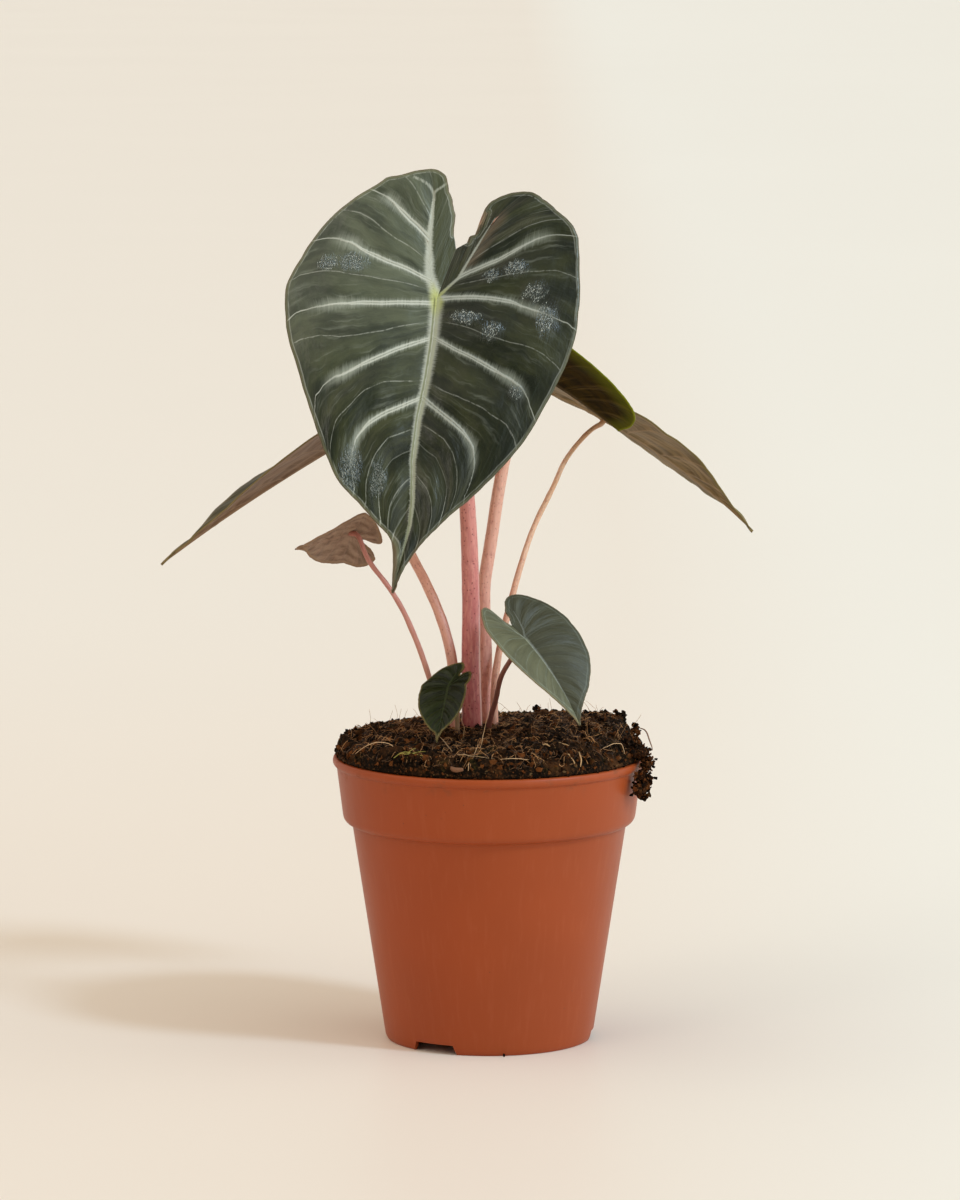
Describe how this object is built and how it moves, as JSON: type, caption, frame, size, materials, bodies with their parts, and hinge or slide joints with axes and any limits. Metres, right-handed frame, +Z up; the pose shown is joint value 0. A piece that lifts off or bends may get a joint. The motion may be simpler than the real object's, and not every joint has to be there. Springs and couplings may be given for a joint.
{
  "type": "potted pink dragon alocasia",
  "caption": "Potted pink dragon alocasia: heart-shaped dark leaves with pale veins on pink stalks, standing in peat in a tapered terracotta-coloured nursery pot.",
  "frame": {"origin": "middle of the pot's underside, on the surface that the pot stands on", "axes": "+Z up; the big leaf faces -Y, and +X is to the right as one looks at its upper side"},
  "size_m": [0.2276, 0.1414, 0.3339],
  "materials": {
    "pot": "satin moulded plastic in a terracotta colour",
    "soil": "moist dark peat and coir with root threads, matt",
    "leaf_blade": "waxy dark green above with pale veins, pinkish brown below",
    "leaf_stalk": "satin pink with small dark red speckles"
  },
  "bodies": {
    "root": {"pot": "pot", "soil": "soil", "blade_big_front": "leaf_blade", "stalk_big_front": "leaf_stalk", "blade_left": "leaf_blade", "stalk_left": "leaf_stalk", "blade_lower_left": "leaf_blade", "stalk_lower_left": "leaf_stalk", "blade_back_right": "leaf_blade", "stalk_back_right": "leaf_stalk", "blade_right": "leaf_blade", "stalk_right": "leaf_stalk", "blade_small_right": "leaf_blade", "stalk_small_right": "leaf_stalk", "blade_low_front": "leaf_blade", "stalk_low_front": "leaf_stalk"}
  },
  "joints": []
}
